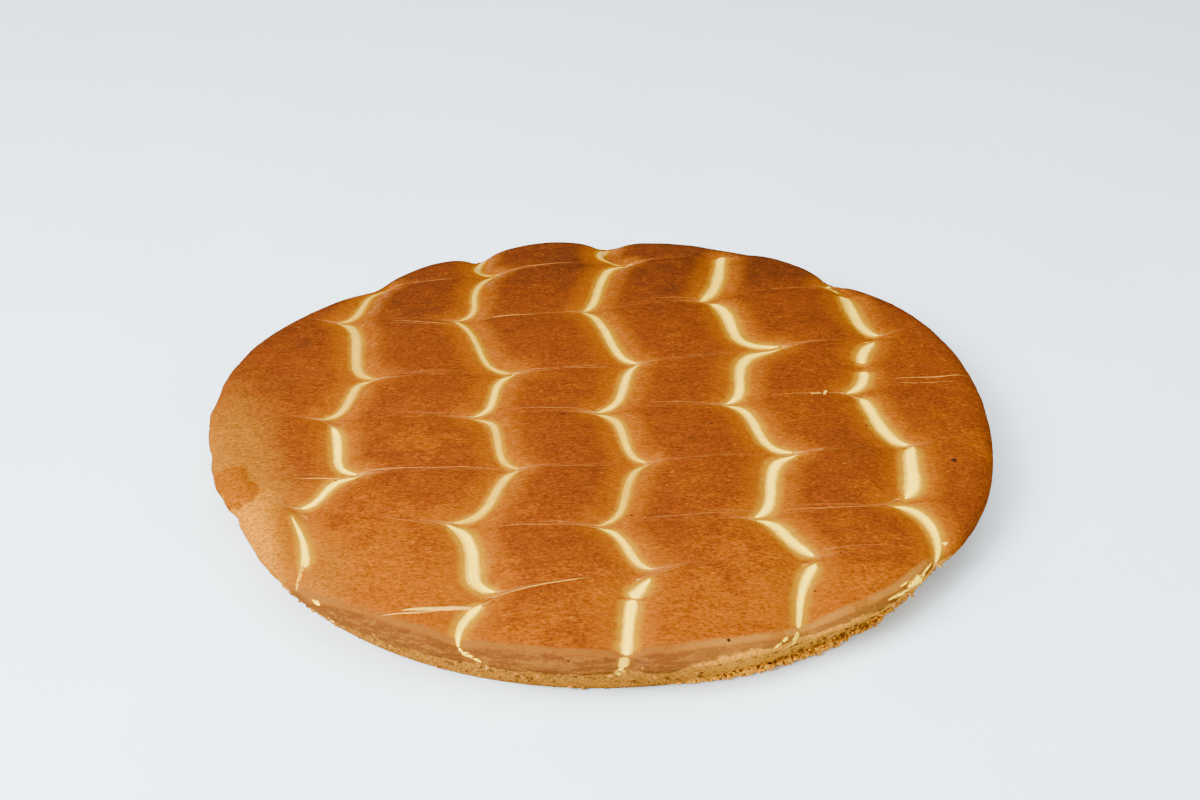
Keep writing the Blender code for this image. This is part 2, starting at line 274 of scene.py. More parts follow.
def pulled(number, y, near=True):
    """Where the strokes leave the points of a line that were at y. Without near, its smooth valley."""
    y = np.asarray(y, float)
    x = line_x(LINES[number], y)
    moved_x, moved_y = x, y
    for at, pull, stroke, _ in CROSSINGS[number]:
        away = np.abs(y - at)
        move = pull * FAR_PULL * np.exp(-away / FAR_REACH)
        if near:
            move = move + pull * NEAR_PULL * np.exp(-away / NEAR_REACH)
        moved_x = moved_x + move
        moved_y = moved_y + move * stroke_slope(stroke, x)
    return moved_x, moved_y


RUN = namedtuple("RUN", "number top bottom look")


def stretches(number):
    """The stretches of cream of a line between strokes and breaks, each with its look."""
    line = LINES[number]
    ends = [(line.back_end, 0.0, 0.0), (line.front_end, 0.0, 0.0)]
    ends += [(row[0], *WIDE_GAPS.get((number, row[3]), GAP)) for row in CROSSINGS[number]]
    ends += [(at, gap / 2, gap / 2) for broken, at, gap in BREAKS if broken == number]
    ends.sort(key=lambda end: -end[0])
    runs = [(back[0] - back[2], front[0] + front[1]) for back, front in zip(ends, ends[1:])]
    runs = [(top, bottom) for top, bottom in runs if top - bottom > SHORTEST_STRETCH]
    looks = [STRETCH(*row) for row in STRETCHES[number]]
    return [RUN(number, top, bottom, look) for (top, bottom), look in zip(runs, looks)]


def course(run, ys):
    """The middle of the cream along a stretch, at values of y on its line."""
    px, py = pulled(run.number, ys)
    share = (run.top - ys) / (run.top - run.bottom)
    to_stroke = np.min([np.abs(ys - row[0]) for row in CROSSINGS[run.number]], axis=0)
    look = run.look
    drift = look.top + (look.bottom - look.top) * share + look.bow * 4 * share * (1 - share)
    return px + drift * (1 - np.exp(-to_stroke / DRIFT_REACH)), py


def tip_taper(run, tip):
    """How soon the cream is at its full width: later beside a stroke than where the cream is broken."""
    by_stroke = any(abs(row[0] - tip) < NEAR_STROKE for row in CROSSINGS[run.number])
    return TIP_TAPER if by_stroke else BREAK_TAPER


def half_width(run, ys, side):
    """Half the width of the cream on one side, tapering to its tips and uneven along its edge."""
    from_top, from_bottom = run.top - ys, ys - run.bottom
    from_tip = np.minimum(from_top / tip_taper(run, run.top), from_bottom / tip_taper(run, run.bottom))
    grown = 1 - np.exp(-from_tip)
    seed = 3.1 + 11 * run.number + 5 * side
    slow = field(0 * ys, ys, 17.0, 3.1 + 7.3 * run.number)
    quick = field(0 * ys, ys, 2.6, seed) * 0.14 + field(0 * ys, ys, 0.9, seed + 2) * 0.07
    share = np.clip(from_top / (run.top - run.bottom), 0, 1)
    wedge = run.look.wedge
    narrowed = 1 - abs(wedge) * (share if wedge > 0 else 1 - share)
    return run.look.width / 2 * grown * narrowed * (1 + 0.2 * slow + quick)


def cream_spread(run, ys, across):
    """Points across the cream at values of y, square to its course and clear of the strokes."""
    px, py = course(run, ys)
    before, after = course(run, ys + 0.3), course(run, ys - 0.3)
    along = np.array(after) - np.array(before)
    aside_x, aside_y = np.array((-along[1], along[0])) / np.hypot(*along)
    left, right = half_width(run, ys, 0), half_width(run, ys, 1)
    half = np.where(across < 0, left[:, None], right[:, None]) * across
    strokes = [row[0] for row in CROSSINGS[run.number]]
    behind = min([at for at in strokes if at > run.top], default=FAR_OFF)
    in_front = max([at for at in strokes if at < run.bottom], default=-FAR_OFF)
    to_back, to_front = STROKE_ROOM * (behind - ys)[:, None], STROKE_ROOM * (ys - in_front)[:, None]
    up = np.clip(half * aside_y[:, None], -to_front, to_back)
    return px[:, None] + half * aside_x[:, None], py[:, None] + up


# The relief of the skin


def distance(samples, xs, ys):
    """For each point, the nearest sample and how far it is."""
    tree = KDTree(len(samples))
    for index, (x, y) in enumerate(samples):
        tree.insert((x, y, 0), index)
    tree.balance()
    found = [tree.find((x, y, 0)) for x, y in zip(xs, ys)]
    return np.array([row[1] for row in found]), np.array([row[2] for row in found])


def valley_samples(number):
    line = LINES[number]
    ys = np.arange(line.back_end, line.front_end, -VALLEY_SAMPLE)
    return np.column_stack(pulled(number, ys, near=False))


def stroke_nearness(xs, ys):
    """How near each point is to a stroke of the skewer, and the sum of the creases there."""
    nearest = np.full(len(xs), 12.0)
    crease = np.zeros(len(xs))
    for stroke in STROKES:
        away = np.abs(ys - stroke_y(stroke, xs))
        ends = smoothstep(0, STROKE_FADE, xs - stroke.left_end)
        ends = ends * smoothstep(0, STROKE_FADE, stroke.right_end - xs)
        crease += CREASE_DEPTH * ends * np.exp(-away / CREASE_FADE)
        nearest = np.minimum(nearest, away + 12 * (1 - ends))
    return nearest, crease


def lip_length(turns):
    """Length along the skin to the torn lip of the crust, at angles around the cake."""
    xs, ys = around(RIM_RADIUS, turns)
    waves = LIP_WAVE * field(xs, ys, LIP_WAVE_SIZE, 0.0)
    return LIP + waves + LIP_TEAR * field(xs, ys, LIP_TEAR_SIZE, 4.4)


def near_spot(xs, ys, x, y, reach):
    """1 at a spot and close by it, 0 beyond its reach."""
    return np.exp(-((np.hypot(xs - x, ys - y) / reach) ** 4))


def relief(xs, ys):
    """How far the skin stands out of the smooth cake at points of the plan."""
    length = np.hypot(xs, ys)
    turn = np.arctan2(ys, xs)
    height = SWELL * field(xs, ys, SWELL_SIZE, 0.7)
    at_back = smoothstep(*NOTCH_RING, length) * smoothstep(*NOTCH_BACK, ys)
    nearest_valley = np.full(len(xs), 99.0)
    for number, line in enumerate(LINES):
        away = distance(valley_samples(number), xs, ys)[1]
        depth = VALLEY_DEPTH + (line.notch - VALLEY_DEPTH) * at_back
        height -= depth * np.exp(-np.maximum(away - VALLEY_FLOOR, 0.0) / VALLEY_FADE)
        nearest_valley = np.minimum(nearest_valley, away)
    height -= stroke_nearness(xs, ys)[1]
    height += RIPPLE * field(xs, ys, RIPPLE_SIZE, 8.2)
    beside = smoothstep(1.5, 4.0, nearest_valley) * np.exp(-nearest_valley / PUCKER_REACH)
    height += PUCKER * beside * field(xs, ys, PUCKER_SIZE, 2.9)
    left = smoothstep(*LEFT_LUMP_RING, length) * smoothstep(-0.75, -0.95, np.cos(turn - 0.15))
    height += LEFT_LUMP * left * field(xs, ys, LEFT_LUMP_SIZE, 6.1)
    for x, y, tall, reach in (*SCAB, SCAB_DENT):
        height += tall * near_spot(xs, ys, x, y, reach)
    height *= 1 - smoothstep(LIP - 3, SKIN_END, length)
    below = smoothstep(0, LIP_EDGE, length - lip_length(turn))
    crumb = CRUMB_RELIEF * field(xs, ys, CRUMB_SIZE, 5.3)
    crumb = crumb + CRUMB_SWELL * field(xs, ys, CRUMB_SWELL_SIZE, 5.3)
    height += below * (crumb - LIP_DROP) * (1 - smoothstep(LIP + 8, SKIN_END, length))
    return height


def rim_out(angle):
    """How far the rim stands out of its circle at angles in degrees."""
    out = np.zeros_like(angle)
    for bump in RIM_BUMPS:
        off = (angle - bump.angle + 180) % 360 - 180
        out += bump.out * np.exp(-((off / bump.spread) ** 2))
    return out


def lift(xs, ys, rise=0.0):
    """Points of the plan, in their places on the cake, in metres. The rise is off the skin."""
    xs, ys = np.asarray(xs, float), np.asarray(ys, float)
    length = np.hypot(xs, ys)
    turn = np.arctan2(ys, xs)
    radius, height, out, up = meridian(length)
    inside = length < SKIN_END - 0.01
    push = np.where(inside, relief(xs, ys), 0.0) + rise
    bump = smoothstep(*BUMP_RING, length) * (1 - smoothstep(LIP, SKIN_END, length))
    radius = radius + out * push + bump * rim_out(np.degrees(turn))
    height = height + np.maximum(up, 0.0) * push
    return np.column_stack((*around(radius, turn), height)) * MM


# Meshes


def placed(name, data):
    """A new object in the scene."""
    piece = bpy.data.objects.new(name, data)
    bpy.context.scene.collection.objects.link(piece)
    return piece


def new_mesh(name, points, faces, attributes=()):
    """A smooth mesh object with numbers on its points for the materials to read."""
    mesh = bpy.data.meshes.new(name)
    mesh.from_pydata(np.asarray(points).tolist(), [], faces)
    for title, values in dict(attributes).items():
        layer = mesh.attributes.new(title, "FLOAT", "POINT")
        layer.data.foreach_set("value", np.asarray(values, np.float32))
    mesh.shade_smooth()
    mesh.update()
    return placed(name, mesh)


def hexagonal(step, reach):
    """Points of a triangular grid inside a circle."""
    rows = math.ceil(reach / (step * GRID_ROW))
    columns = math.ceil(reach / step)
    j, i = np.mgrid[-rows : rows + 1, -columns : columns + 1]
    xs = (i + 0.5 * (j % 2)) * step
    ys = j * step * GRID_ROW
    keep = np.hypot(xs, ys) < reach
    return xs[keep], ys[keep]


def triangulated(xs, ys):
    points = [Vector(point) for point in zip(xs.tolist(), ys.tolist())]
    result = delaunay_2d_cdt(points, [], [], 0, 0.0001, False)
    return [tuple(face) for face in result[2]]


def cream_edges():
    """Samples down the middle of all the cream: x, y, half its width there and how fresh it is."""
    rows = []
    for number in range(len(LINES)):
        for run in stretches(number):
            ys = np.arange(run.top, run.bottom, -0.5)
            fresh = np.full(len(ys), run.look.fresh)
            rows.append(np.column_stack((*course(run, ys), half_width(run, ys, 0), fresh)))
    return np.vstack(rows)


# How brown the skin is in the middle, and how much more to the back, the front and the right
BROWN_MIDDLE, BROWN_BACK, BROWN_FRONT, BROWN_RIGHT = 0.66, 0.52, -0.36, -0.16

# Where the oven has baked the skin darker, or with a minus paler: x, y, reach, amount. The last spot is no
# browning but a painted highlight on a pillow left of the middle
BROWN_AND_HIGHLIGHT_SPOTS = (
    (-112, 52, 38, 0.18), (-20, -55, 30, 0.15), (-74, -90, 42, -0.42), (58, -98, 42, -0.26),
    # The last spot here is a painted highlight: the small paler patch on the pillow left of the middle
    (-62, -29, 8, -0.45),
)


def brownness_and_highlight(xs, ys):
    """How dark the oven has baked the skin, from 0, pale, to 1, with one small paler spot that is a
    painted highlight.
    """
    level = BROWN_MIDDLE + BROWN_BACK * smoothstep(20, 125, ys)
    level += BROWN_FRONT * smoothstep(75, 120, -ys) + BROWN_RIGHT * smoothstep(60, 140, xs)
    for x, y, reach, amount in BROWN_AND_HIGHLIGHT_SPOTS:
        level += amount * np.exp(-((xs - x) ** 2 + (ys - y) ** 2) / reach**2)
    return level + 0.20 * field(xs, ys, 30.0, 1.7) + 0.14 * field(xs, ys, 9.0, 9.1)


# The pale line along the front shoulder: how far past the edge of the dome it runs, and how much
# further at its right and at its left end
BAND_MIDDLE, BAND_RIGHT, BAND_LEFT = 5.8, 2.4, 4.2


# Arcs of the rim: middle, half width and fade in degrees
FRONT_ARC = (-88, 44, 7)
LEFT_ARC, FRONT_LEFT_ARC = (-160, 8, 32), (-143, 5, 20)
# The arc at the right front is partly painted light: there the side is coloured paler where the lamps
# light it less
PALER_SIDE_AND_PAINTED_LIGHT_ARC = (-58, 16, 10)


def arc_share(turns, arc):
    """1 within an arc of the rim and 0 outside it."""
    middle, half, fade = arc
    off = np.abs((np.degrees(turns) - middle + 180) % 360 - 180)
    return 1 - smoothstep(half, half + fade, off)


def band_start(turns):
    """How far past the edge of the dome the pale line of the shoulder runs, at angles around the cake."""
    angles = np.degrees(turns)
    right = BAND_RIGHT * smoothstep(-82, -62, angles)
    return BAND_MIDDLE + right + BAND_LEFT * smoothstep(-120, -134, angles)


def skin_marks(xs, ys):
    """Each mark of the skin, and what it is on the underside."""
    length, angles = np.hypot(xs, ys), np.arctan2(ys, xs)
    edges = cream_edges()
    nearest, away = distance(edges[:, :2], xs, ys)
    left = 0.6 * arc_share(angles, LEFT_ARC) * smoothstep(106, 134, length)
    left += 0.4 * arc_share(angles, FRONT_LEFT_ARC) * smoothstep(114, 136, length)
    to_right = np.clip((xs - edges[nearest, 0]) / 1.5, -1, 1) * np.exp(-away / 12.0)
    scabs = [near_spot(xs, ys, x, y, 1.1 * reach) for x, y, _, reach in SCAB]
    return {
        "to_cream": (np.clip(away - edges[nearest, 2], -3, 30), 30),
        "right_of_cream": (to_right, 0),
        "fresh": (edges[nearest, 3], 0),
        "to_stroke": (stroke_nearness(xs, ys)[0], 12),
        "below_lip": (np.clip(length - lip_length(angles), -40, 40), 14),
        "past_band": (length - DOME_EDGE - band_start(angles), 20),
        "left_rim": (left, 0),
        "scab": (np.maximum(*scabs), 0),
        "paler_side_and_painted_light": (arc_share(angles, PALER_SIDE_AND_PAINTED_LIGHT_ARC), 0),
        "front_side": (arc_share(angles, FRONT_ARC), 1),
        "brownness_and_highlight": (brownness_and_highlight(xs, ys), 0.5),
    }


def cake_skin():
    """The whole closed skin of the cake: top, side and underside."""
    xs, ys = hexagonal(SKIN_STEP, SKIN_END - 0.6)
    turns = 2 * np.pi * np.arange(RIM_STEPS) / RIM_STEPS
    count = len(xs)
    edge_x, edge_y = around(SKIN_END, turns)
    xs, ys = np.append(xs, edge_x), np.append(ys, edge_y)
    under_x, under_y = hexagonal(UNDERSIDE_STEP, BASE_RADIUS - 2.0)
    ring_x, ring_y = around(BASE_RADIUS, turns)
    under_faces = triangulated(np.append(ring_x, under_x), np.append(ring_y, under_y))
    faces = triangulated(xs, ys)
    faces += [tuple(index + count for index in reversed(face)) for face in under_faces]
    under_z = 0.12 * (1 + field(under_x, under_y, 7.0, 3.3))
    underside = np.column_stack((under_x, under_y, under_z)) * MM
    points = np.vstack((lift(xs, ys), underside))
    marks = {
        name: np.append(skin, np.full(len(under_x), below))
        for name, (skin, below) in skin_marks(xs, ys).items()
    }
    return new_mesh("cake_skin", points, faces, marks)


class Tubes:
    """Closed tubes on the plan, gathered for one mesh. Each ring is a row of points."""

    def __init__(self, *marks):
        self.xs, self.ys, self.rises, self.faces = [], [], [], []
        self.marks = {mark: [] for mark in marks}

    def add(self, xs, ys, rises, tips, **marks):
        """A tube through rings. The tips are the x and the y of its two ends."""
        start, (count, size) = len(self.xs), xs.shape
        for ring in range(count - 1):
            for step in range(size):
                a = start + ring * size + step
                b = start + ring * size + (step + 1) % size
                self.faces.append((a, b, b + size, a + size))
        first, last = start + count * size, start + count * size + 1
        for step in range(size):
            after = (step + 1) % size
            self.faces.append((first, start + after, start + step))
            self.faces.append((last, last - 1 - size + step, last - 1 - size + after))
        self.xs += [*xs.ravel(), *tips[0]]
        self.ys += [*ys.ravel(), *tips[1]]
        self.rises += [*rises.ravel(), *rises[[0, -1]].mean(1)]
        for mark, values in marks.items():
            self.marks[mark] += [*values.ravel(), *values[[0, -1]].max(1)]

    def mesh(self, name):
        return new_mesh(name, lift(self.xs, self.ys, np.array(self.rises)), self.faces, self.marks)


def cream_stations(top, bottom):
    """Values of y down a stretch of cream, closer together at its two tips."""
    ys = [top - 0.12]
    while ys[-1] - CREAM_TIP_STEP > bottom + 0.1:
        to_tip = min(top - ys[-1], ys[-1] - bottom)
        ys.append(ys[-1] - (CREAM_TIP_STEP if to_tip < CREAM_TIP_ZONE else CREAM_STEP))
    return np.array(ys)


def add_cream(tubes, xs, ys, crown, tips, fresh):
    """A tube of cream set into the skin, with how near its edge each point is and how fresh it looks."""
    rises = np.column_stack((crown, np.full((len(crown), 2), -CREAM_DEEP)))
    edge = np.tile(np.abs(CREAM_AROUND), (len(crown), 1))
    tubes.add(xs, ys, rises, tips, edge=edge, fresh=np.full(rises.shape, fresh))


def cream_line(number):
    """All the stretches of one line of cream, each a low closed ridge set into the skin."""
    across = CREAM_ACROSS
    tubes = Tubes("edge", "fresh")
    for run in stretches(number):
        ys = cream_stations(run.top, run.bottom)
        width = half_width(run, ys, 0) + half_width(run, ys, 1)
        tall = CREAM_RISE * np.clip(width / CREAM_FULL_WIDTH, 0.15, 1.2)
        ridge = [[noise.noise((3.1 * t, y / 5, 2.0 + number)) for t in across] for y in ys]
        crown = tall[:, None] * (1 - np.abs(across) ** 3) + 0.10 * np.array(ridge) * (1 - across**2)
        crown -= CREAM_SUNK * np.abs(across) ** 6
        tips = course(run, np.array([run.top, run.bottom]))
        add_cream(tubes, *cream_spread(run, ys, CREAM_AROUND), crown, tips, run.look.fresh)
    return tubes.mesh(f"cream_line_{number + 1}")


# Smears and lumps of cream where the crust is torn, each along a few points of the plan
SMEAR = namedtuple("SMEAR", "path width fresh")
SMEARS = [SMEAR(*row) for row in (
    (((104, -92), (102, -95), (99.5, -98.5)), 1.2, 0.9),
    (((101, -97.5), (98, -101), (94, -104.5)), 3.7, 1),
    (((96, -104), (91.5, -107.5), (87, -110.5)), 1.5, 0.9), (((94.5, -102), (91, -105)), 1, 0.8),
    (((-43.6, -130.6), (-42.8, -132.6)), 1.9, 0.9), (((-43, -132.6), (-39.8, -135.4)), 2.8, 0.8),
    (((-40.4, -134), (-39.2, -134.8)), 1.2, 0.7), (((-39.6, -135.6), (-37, -137)), 1.9, 0.7),
    (((54.5, -128), (53, -130)), 1.7, 0.8), (((52.6, -130.2), (50.6, -132.4)), 1.4, 0.7),
    (((57.4, -127.6), (56.6, -129.4)), 1.2, 0.8),
    (((-94.6, -90.5), (-95.2, -95), (-96.8, -102)), 2.4, 0.2), (((-90, -107), (-87.5, -109.5)), 2, 1),
    (((5, -140.5), (4, -147)), 3.9, 0.45),
)]
SMEAR_STEP, SMEAR_LUMPS = 0.4, 0.7


def cream_smears():
    across = CREAM_ACROSS
    tubes = Tubes("edge", "fresh")
    for index, smear in enumerate(SMEARS):
        path = np.array(smear.path, float)
        legs = np.concatenate(([0.0], np.cumsum(np.linalg.norm(np.diff(path, axis=0), axis=1))))
        along = np.linspace(0, legs[-1], int(legs[-1] / SMEAR_STEP))
        middle_x, middle_y = np.interp(along, legs, path[:, 0]), np.interp(along, legs, path[:, 1])
        way_x, way_y = np.gradient(middle_x), np.gradient(middle_y)
        size = np.hypot(way_x, way_y)
        ragged = 1 + 0.7 * field(along, 0 * along, 0.5 + 0.6 * smear.width, 4.0 * index)
        half = smear.width / 2 * np.sin(np.pi * along / legs[-1]) ** 0.5 * ragged
        half = np.maximum(half, 0.1)[:, None]
        lumps = np.array([[noise.noise((1.7 * t, s / 1.3, 6.0 + index)) for t in across] for s in along])
        crown = np.maximum((0.35 + SMEAR_LUMPS * lumps) * (1 - across**2), 0.0) - 0.1
        xs = middle_x[:, None] + (-way_y / size)[:, None] * half * CREAM_AROUND
        ys = middle_y[:, None] + (way_x / size)[:, None] * half * CREAM_AROUND
        add_cream(tubes, xs, ys, crown, path[[0, -1]].T, smear.fresh)
    return tubes.mesh("cream_smears")


# The streaks that the skewer has left, stroke by stroke: left and right end, how far off the stroke each
# end is, width, and how pale it is from 0, the tan of the crust, to 1, cream
STREAK = namedtuple("STREAK", "stroke left right off_left off_right width pale")
STREAK_ROWS = (
    (
        (-46, -10, 1.2, 1, 0.9, 0.5), (-44, -16, -0.4, 0.2, 0.7, 0.3), (-86, -58, 0.8, -3, 0.8, 0.5),
        (6, 24, 0.8, 1.2, 0.8, 0.4), (8, 30, -0.6, 0.2, 0.6, 0.3),
    ),
    (
        (-46, -24, -0.8, -1, 1.1, 0.7), (-26, -2, -1, 0.4, 0.6, 0.3), (-82, -54, -1.6, -4.8, 0.9, 0.6),
        (-86, -56, -3.4, -6, 0.6, 0.3), (20, 44, 4.4, 1.6, 0.7, 0.4), (24, 42, 2.2, -0.4, 0.6, 0.2),
        (62, 90, 1.2, -4.8, 0.8, 0.4),
    ),
    (
        (-30, 4, 1, -1.2, 0.8, 0.4), (-34, 8, -0.6, -2.2, 0.7, 0.3), (-82, -48, 3.6, 1.8, 0.6, 0.2),
        (14, 52, -0.4, 0.2, 0.7, 0.3), (20, 50, -1.6, -1.2, 0.6, 0.2), (62, 92, 1.6, -0.2, 0.8, 0.4),
        (64, 84, 0.2, -0.6, 0.6, 0.3), (-78, -60, 2.2, 1.2, 0.6, 0.2),
    ),
    (
        (-76, -46, 2.2, 1.8, 0.6, 0.2), (-36, 0, 2.8, 1.4, 0.7, 0.3), (14, 44, 3.2, -0.2, 0.6, 0.3),
        (58, 84, 1.2, 0.8, 0.6, 0.3), (106, 138, 4.6, 0, 0.9, 0.7), (108, 130, 1.8, -3.4, 0.8, 0.6),
    ),
    (
        (-88, -30, 2.6, 0.4, 0.7, 0.4), (-90, -66, 1.4, 1.6, 0.8, 0.6),
        (-106, -88, -2.8, -0.8, 0.8, 0.8), (-30, 8, 0.4, -1.6, 0.6, 0.3), (14, 48, -0.6, 0.2, 0.7, 0.3),
        (62, 84, 1.2, -0.6, 0.7, 0.5), (60, 80, 0, -1.2, 0.6, 0.3),
    ),
    (
        (-74, -50, -0.8, -1.8, 0.7, 0.3), (-42, -2, -1.2, -0.4, 0.8, 0.4), (-22, 0, 0.8, 0.4, 0.6, 0.3),
        (8, 48, 1.4, 2.8, 0.6, 0.3), (30, 50, 3.4, 3.2, 0.6, 0.3), (54, 96, 3, -2.6, 0.8, 0.5),
        (60, 94, 4.2, -1.6, 0.6, 0.3),
    ),
    (
        (-38, -4, -0.8, -1, 1, 0.8), (-40, -16, 0.8, -0.2, 0.7, 0.3), (10, 26, -1.2, -0.2, 0.8, 0.4),
        (10, 24, -2.6, -1.2, 0.8, 0.4), (60, 92, 2.2, 3.4, 0.6, 0.3), (58, 72, 3.8, 2.2, 0.6, 0.5),
    ),
    (
        (-61, -36, 0.6, 2.8, 3.4, 1), (-67, -50, -1.2, 0.6, 1.4, 0.9),
    ),
)
STREAKS = [STREAK(stroke, *row) for stroke, rows in enumerate(STREAK_ROWS) for row in rows]
STREAK_STEP = 0.8
STREAK_RISE, STREAK_SUNK, STREAK_THIN = 0.10, 0.35, 0.72

# The two tails of a cusp, beyond the tips of the cream: length, width and how pale they are at the cream
TAIL_LENGTH, TAIL_WIDTH, TAIL_PALE = 13.0, 0.95, 0.85


def add_thread(tubes, xs, ys, half, pale):
    """One fine thread of cream on the skin."""
    tall = STREAK_RISE * np.minimum(half / 0.3, 1.0)
    edge = np.full(len(xs), -0.04)
    tubes.add(
        np.repeat(xs[:, None], 4, 1),
        np.column_stack((ys + half, ys, ys - half, ys)),
        np.column_stack((edge, tall, edge, edge - STREAK_SUNK)),
        (xs[[0, -1]], ys[[0, -1]]),
        pale=np.repeat(pale[:, None], 4, 1),
    )


def add_tails(tubes, number):
    """The tails of the cusps of a line: each runs on from the cream along the stroke and fades."""
    runs = stretches(number)
    for at, pull, stroke, index in CROSSINGS[number]:
        way = math.copysign(1, pull)
        tips = [run.bottom for run in runs if abs(run.bottom - at) < NEAR_STROKE]
        tips += [run.top for run in runs if abs(run.top - at) < NEAR_STROKE]
        for order, tip in enumerate(tips):
            start_x, start_y = pulled(number, np.array([tip]))
            length = TAIL_LENGTH * (1 + 0.5 * noise.noise((2.3 * index, 1.7 * number, 4.0 * order)))
            share = np.linspace(0, 1, int(length / STREAK_STEP))
            xs = start_x[0] + way * (length * share - 1.2)
            side = stroke_y(stroke, xs) + 0.35 * (1 - order * 2)
            ys = start_y[0] + (side - start_y[0]) * smoothstep(0, 0.45, share)
            half = TAIL_WIDTH / 2 * (1 - 0.8 * share)
            add_thread(tubes, xs, ys, half, TAIL_PALE * (1 - share) ** 1.5)


def cream_streaks():
    """Fine lines of dragged cream along the strokes of the skewer."""
    tubes = Tubes("pale")
    for index, streak in enumerate(STREAKS):
        share = np.linspace(0, 1, max(int((streak.right - streak.left) / STREAK_STEP), 6))
        xs = streak.left + (streak.right - streak.left) * share
        wander = 0.5 * field(xs, 0 * xs, 9.0, 1.3 * index)
        ys = stroke_y(STROKES[streak.stroke], xs) + wander
        ys = ys + streak.off_left + (streak.off_right - streak.off_left) * share
        swell = np.sin(np.pi * share) ** 0.6 * (1 + 0.4 * field(xs, 0 * xs, 3.0, 2.7 * index))
        half = STREAK_THIN * streak.width / 2 * np.maximum(swell, 0.12)
        add_thread(tubes, xs, ys, half, np.full(len(xs), streak.pale))
    for number in range(len(LINES)):
        add_tails(tubes, number)
    return tubes.mesh("cream_streaks")


# Small bits: crumbs, specks and flakes


def icosahedron():
    golden = (1 + 5**0.5) / 2
    corners = []
    for a in (-1, 1):
        for b in (-golden, golden):
            corners += [(0, a, b), (a, b, 0), (b, 0, a)]
    corners = np.array(corners, float) / math.hypot(1, golden)
    apart = np.linalg.norm(corners[:, None] - corners[None], axis=2)
    side = apart[apart > 0.1].min() * 1.01
    faces = []
    for i, j, k in combinations(range(12), 3):
        if max(apart[i, j], apart[j, k], apart[i, k]) < side:
            normal = np.cross(corners[j] - corners[i], corners[k] - corners[i])
            faces.append((i, j, k) if normal @ corners[i] > 0 else (i, k, j))
    return corners, faces


def bits(name, centres, sizes, flatness, shades):
    """Many small rough lumps in one mesh. Each is an icosahedron with its corners pushed in and out."""
    corners, faces = icosahedron()
    points, all_faces, tones = [], [], []
    for index, (centre, size) in enumerate(zip(centres, sizes)):
        rough = corners * (0.72 + 0.5 * RANDOM.random((12, 1)))
        rough = rough * (1, 0.55 + 0.5 * RANDOM.random(), flatness)
        turn = Matrix.Rotation(RANDOM.random() * 2 * math.pi, 3, "Z")
        tilt = Matrix.Rotation((RANDOM.random() - 0.5) * 1.2, 3, "X")
        rough = rough @ np.array(turn @ tilt)
        points.append(centre + rough * size * MM)
        all_faces += [tuple(corner + 12 * index for corner in face) for face in faces]
        tones += [shades[index]] * 12
    return new_mesh(name, np.vstack(points), all_faces, {"shade": tones})


SIDE_CRUMBS, SHOULDER_CRUMBS = 2400, 90

# The ragged crumb that stands out of the base at the right front: how many crumbs, the arc in degrees,
# how far out, how high and how much paler, which is painted light where the lamps light them less
BASE_CRUMBS, BASE_ARC = 2200, (-82.0, -38.0)
BASE_OUT, BASE_HIGH, BASE_PAINTED_LIGHT = 3.8, 3.6, 1.35


def side_crumbs():
    """The open crumb of the side, with loose crumbs along the torn lip of the crust and at the base."""
    turns = RANDOM.random(SIDE_CRUMBS) * 2 * np.pi
    lengths = lip_length(turns) + 0.2 + RANDOM.random(SIDE_CRUMBS) * (SKIN_END - 1.2 - LIP)
    sizes = 0.35 + 0.95 * RANDOM.random(SIDE_CRUMBS) ** 3
    more_turns = RANDOM.random(SHOULDER_CRUMBS) * 2 * np.pi
    more_lengths = lip_length(more_turns) - 0.6 - 1.5 * RANDOM.random(SHOULDER_CRUMBS)
    turns = np.append(turns, more_turns)
    lengths = np.minimum(np.append(lengths, more_lengths), SKIN_END - 1.0)
    sizes = np.append(sizes, 0.25 + 0.3 * RANDOM.random(SHOULDER_CRUMBS))
    places = lift(*around(lengths, turns), -0.15)
    places[:, 2] = np.maximum(places[:, 2], sizes * MM)

    share = RANDOM.random(BASE_CRUMBS)
    base_turns = np.radians(BASE_ARC[0] + (BASE_ARC[1] - BASE_ARC[0]) * share)
    base_sizes = 0.3 + 0.6 * RANDOM.random(BASE_CRUMBS) ** 2
    ragged = 1 + 0.35 * field(RIM_RADIUS * base_turns, 0 * share, 5.0, 7.7)
    out = RANDOM.random(BASE_CRUMBS)
    radius = BASE_RADIUS - 0.4 + BASE_OUT * np.sin(np.pi * share) ** 0.5 * ragged * out
    high = base_sizes * 0.8 + BASE_HIGH * RANDOM.random(BASE_CRUMBS) * (1 - 0.5 * out)
    base = np.column_stack((*around(radius, base_turns), high)) * MM
    shades = RANDOM.random(len(sizes) + BASE_CRUMBS)
    # Painted light: the crumbs at the base are coloured paler where the lamps light them less
    shades[len(sizes):] += BASE_PAINTED_LIGHT
    return bits("side_crumbs", np.vstack((places, base)), np.append(sizes, base_sizes), 0.8, shades)


# Dark specks of burnt crust: x, y, size
SPECKS = (
    (120, -40, 1.1), (93, -18, 0.7), (38, -20, 0.6), (40, -24, 0.5), (-14, -13, 0.7), (9, -72, 0.6),
    (-67, 86, 0.5), (-92, 44, 0.5), (-92, -47, 0.6), (-81, -93, 0.4), (64, -108, 0.6), (61, -107, 0.5),
    (-11, -138, 0.5), (36, -131, 0.6), (-22, 82, 0.5), (-99, 11, 0.4), (1, -95, 0.3), (74, -90, 0.4),
    (24, 60, 0.3), (-20, 40, 0.3), (-48, -66, 0.3), (30, -60, 0.4), (84, -60, 0.3), (-110, 40, 0.4),
)


def dark_specks():
    spots = np.array(SPECKS)
    places = lift(spots[:, 0], spots[:, 1], 0.02)
    return bits("dark_specks", places, spots[:, 2], 0.35, np.zeros(len(spots)))


